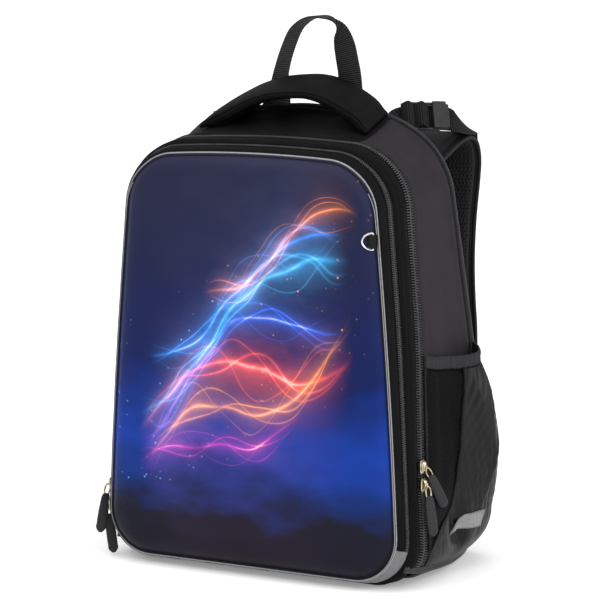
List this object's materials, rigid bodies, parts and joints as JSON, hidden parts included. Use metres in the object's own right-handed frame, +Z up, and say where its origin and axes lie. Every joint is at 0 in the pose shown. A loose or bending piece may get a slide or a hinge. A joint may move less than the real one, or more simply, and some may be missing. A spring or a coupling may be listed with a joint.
{
  "type": "school ransel",
  "caption": "Box-shaped school rucksack with a moulded printed front, zipped compartments, padded carry handle, hanging loop, side pockets and padded shoulder straps.",
  "frame": {"origin": "centre of the bounding box, at the floor that the bag stands on", "axes": "+Z up; the printed front faces -Y, the shoulder straps are at +Y, and +X is the wearer's left"},
  "size_m": [0.371, 0.2438, 0.4851],
  "materials": {
    "black_cloth": "matte fine weave",
    "printed_front": "smooth printed cloth, satin",
    "reflective_grey": "reflective coated cloth",
    "zip_black": "moulded coil on woven tape",
    "black_trim": "woven binding",
    "padded_cloth": "padded fine weave",
    "black_netting": "open knitted netting",
    "black_satin": "thin satin cloth",
    "handle_cloth": "smooth foam-backed cloth",
    "black_webbing": "ribbed webbing",
    "antique_brass": "antique, satin",
    "pull_rubber": "soft matte",
    "bright_nickel": "bright nickel plate",
    "buckle_plastic": "moulded"
  },
  "bodies": {
    "root": {"back_panel": "padded_cloth", "back_piping": "black_trim", "base_plate": "black_trim", "base_trim_left": "black_trim", "base_trim_right": "black_trim", "carry_handle": "handle_cloth", "d_ring": "bright_nickel", "d_ring_tab": "black_trim", "front_gusset": "black_cloth", "front_panel": "printed_front", "front_piping": "reflective_grey", "front_pull_1": "pull_rubber", "front_pull_2": "pull_rubber", "front_slider_1": "antique_brass", "front_slider_2": "antique_brass", "hang_loop": "black_webbing", "lifter_buckle_left": "buckle_plastic", "lifter_buckle_right": "buckle_plastic", "lifter_webbing_left": "black_webbing", "lifter_webbing_right": "black_webbing", "lower_buckle_left": "buckle_plastic", "lower_buckle_right": "buckle_plastic", "lower_webbing_left": "black_webbing", "lower_webbing_right": "black_webbing", "main_pull_1": "pull_rubber", "main_pull_2": "pull_rubber", "main_shell": "black_cloth", "main_slider_1": "antique_brass", "main_slider_2": "antique_brass", "pocket_cloth_left": "black_satin", "pocket_cloth_right": "black_satin", "pocket_hem_left": "black_trim", "pocket_hem_right": "black_trim", "pocket_netting_left": "black_netting", "pocket_netting_right": "black_netting", "pocket_patch_left": "reflective_grey", "pocket_patch_right": "reflective_grey", "reflective_band": "reflective_grey", "rim_roll": "black_cloth", "strap_binding_left": "black_trim", "strap_binding_right": "black_trim", "strap_lining_left": "black_netting", "strap_lining_right": "black_netting", "strap_pad_left": "padded_cloth", "strap_pad_right": "padded_cloth", "zip_front": "zip_black", "zip_main": "zip_black"}
  },
  "joints": []
}
